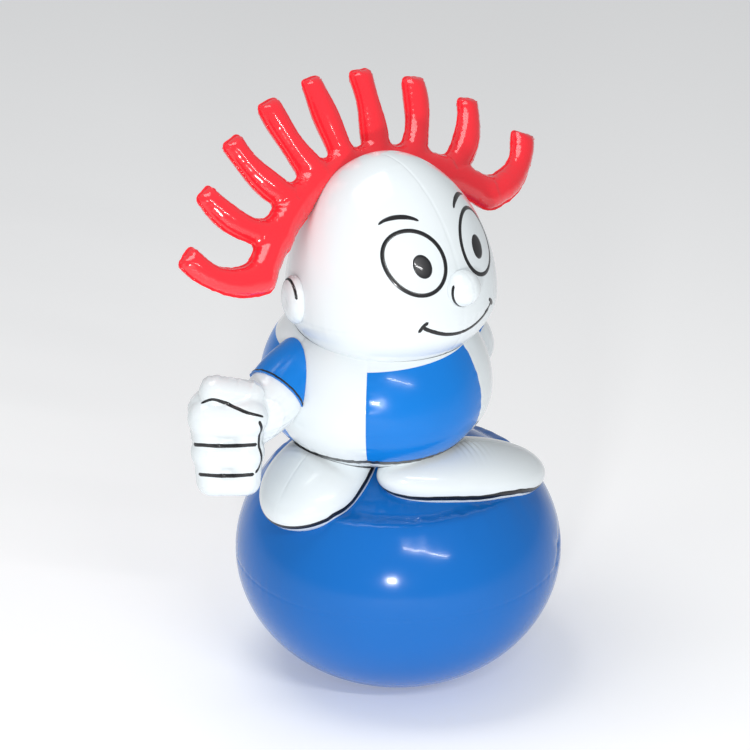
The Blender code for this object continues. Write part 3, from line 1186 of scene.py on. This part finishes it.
def crest_heights(flat, origin, outline, folds):
    """How far the two films stand out from the flat sheet, puckered beside the weld."""
    count = len(outline)
    depth, size = hair_distance(flat)
    depth = np.clip(-depth, 0, None)
    within = size - np.minimum(depth, size)
    height = np.sqrt(np.maximum(0.0, size**2 - within**2))
    height += 0.10 * np.clip(depth - size, 0, 0.02)
    nearest = np.array([np.argmin(((outline - p) ** 2).sum(1)) for p in flat])
    on_edge = np.array([bool(o) and o[0] < count for o in origin])
    bend = hair_bend(outline)[nearest]
    turn = nearest * TAU / count
    strength = (0.0005 + 0.0018 * bend) * np.where(on_edge, 0.0, 1.0)
    films = []
    for shift in (0.0, 0.7):
        blown = height + strength * pucker(depth, turn + shift, folds, CREST_FOLD_REACH)
        films.append(np.where(on_edge, FLANGE_HALF, np.maximum(blown, FLANGE_HALF)))
    return films


def make_hair(over_head):
    """Two sheets of film welded round their outline and blown up, with a flat flange at the weld."""
    outline = hair_outline(CREST_SPACING)
    count = len(outline)
    inward = -slope(outline)
    folds = round(count * CREST_SPACING / CREST_FOLD)
    flat, faces, origin = crest_sheet(outline, inward)
    top, bottom = crest_heights(flat, origin, outline, folds)
    number = len(flat)
    upper = np.stack((flat[:, 0], -top, flat[:, 1]), axis=1)
    lower = np.stack((flat[:, 0], bottom, flat[:, 1]), axis=1)
    edge_index = {}
    for i, o in enumerate(origin):
        for k in o:
            if k < count:
                edge_index[k] = i
    wavy = 0.0005 * ripple(np.arange(count) * TAU / count, folds)
    reach = FLANGE_WIDTH * (1 + 0.18 * ripple(np.arange(count) * TAU / count, round(folds / 3)))
    rim = outline - inward * reach[:, None]
    rim_upper = np.stack((rim[:, 0], wavy - FLANGE_HALF * 0.8, rim[:, 1]), axis=1)
    rim_lower = np.stack((rim[:, 0], wavy + FLANGE_HALF * 0.8, rim[:, 1]), axis=1)
    points = np.vstack((upper, lower, rim_upper, rim_lower))
    corners = [tuple(f) for f in faces] + [tuple(number + i for i in reversed(f)) for f in faces]
    for i in range(count):
        j = (i + 1) % count
        a, b = edge_index[i], edge_index[j]
        c, d = 2 * number + j, 2 * number + i
        e, f = 2 * number + count + j, 2 * number + count + i
        corners += [(a, b, c, d), (d, c, e, f), (f, e, number + b, number + a)]
    made = new_object("hair_film", placed(points, hair_place()), corners, [FILMS["red"]])
    tool = bmesh.new()
    tool.from_mesh(made.data)
    bmesh.ops.recalc_face_normals(tool, faces=tool.faces)
    tool.to_mesh(made.data)
    tool.free()
    made.data.set_sharp_from_angle(angle=math.radians(60))
    clear(made, over_head)
    dress(made, "hair")


def make_figure():
    over_ball = cutter(ball_base_form)
    over_torso = cutter(torso_form)
    over_head = cutter(head_form, head_place())
    ball = make_ball()
    make_torso(over_head, over_ball)
    make_head()
    make_nose(over_head)
    make_ear("ear_right", -1, over_head)
    make_ear("ear_left", 1, over_head)
    for name, row in FEET.items():
        make_foot(name, row, ball, over_ball, over_torso)
    for side, row in ARMS.items():
        over_sleeve = make_sleeve(side, row, over_torso, over_head)
        make_hand(side, row, over_sleeve, over_torso)
        bpy.data.objects.remove(over_sleeve)
    make_hair(over_head)
    for spare in (over_ball, over_torso, over_head):
        bpy.data.objects.remove(spare)


# Floor, lights and camera


def make_floor():
    tool = bmesh.new()
    bmesh.ops.create_grid(tool, x_segments=8, y_segments=8, size=FLOOR_HALF)
    mesh = bpy.data.meshes.new("floor")
    tool.to_mesh(mesh)
    tool.free()
    floor = bpy.data.objects.new("floor", mesh)
    bpy.context.scene.collection.objects.link(floor)
    pale = bpy.data.materials.new("floor_pale")
    pale.use_nodes = True
    shader = pale.node_tree.nodes["Principled BSDF"]
    shader.inputs["Base Color"].default_value = (0.95, 0.95, 0.95, 1)
    shader.inputs["Roughness"].default_value = 0.8
    shader.inputs["Specular IOR Level"].default_value = 0.1
    shader.inputs["Emission Color"].default_value = (1, 1, 1, 1)
    shader.inputs["Emission Strength"].default_value = FLOOR_GLOW
    mesh.materials.append(pale)


def area_light(name, row):
    """A softbox that faces the figure, its first side as near as can be along a given direction."""
    light = bpy.data.lights.new(name, "AREA")
    light.shape = "RECTANGLE"
    light.size, light.size_y = row["size"]
    light.energy = row["power"]
    along = Vector(row["along"])
    back = (Vector(row["place"]) - Vector(LIGHT_AIM)).normalized()
    side = (along - along.project(back)).normalized()
    turn = Matrix((side, back.cross(side), back)).transposed()
    holder = bpy.data.objects.new(name, light)
    holder.matrix_world = Matrix.Translation(row["place"]) @ turn.to_4x4()
    bpy.context.scene.collection.objects.link(holder)


def view_back():
    return Vector(
        (
            math.sin(VIEW_AZIMUTH) * math.cos(VIEW_ELEVATION),
            -math.cos(VIEW_AZIMUTH) * math.cos(VIEW_ELEVATION),
            math.sin(VIEW_ELEVATION),
        )
    )


def make_lights():
    world = bpy.data.worlds.new("studio")
    world.use_nodes = True
    world.node_tree.nodes["Background"].inputs["Color"].default_value = WORLD_COLOUR
    world.node_tree.nodes["Background"].inputs["Strength"].default_value = WORLD_STRENGTH
    bpy.context.scene.world = world
    for name, row in LIGHTS.items():
        area_light(name, row)


def make_camera():
    lens = bpy.data.cameras.new("camera")
    lens.sensor_width = 36
    lens.lens = lens.sensor_width * VIEW_DISTANCE / VIEW_WIDTH
    holder = bpy.data.objects.new("camera", lens)
    holder.location = VIEW_TARGET + view_back() * VIEW_DISTANCE
    holder.rotation_euler = view_back().to_track_quat("Z", "Y").to_euler()
    bpy.context.scene.collection.objects.link(holder)
    bpy.context.scene.camera = holder


make_figure()
make_floor()
make_lights()
make_camera()
bpy.context.scene.view_settings.view_transform = "Standard"
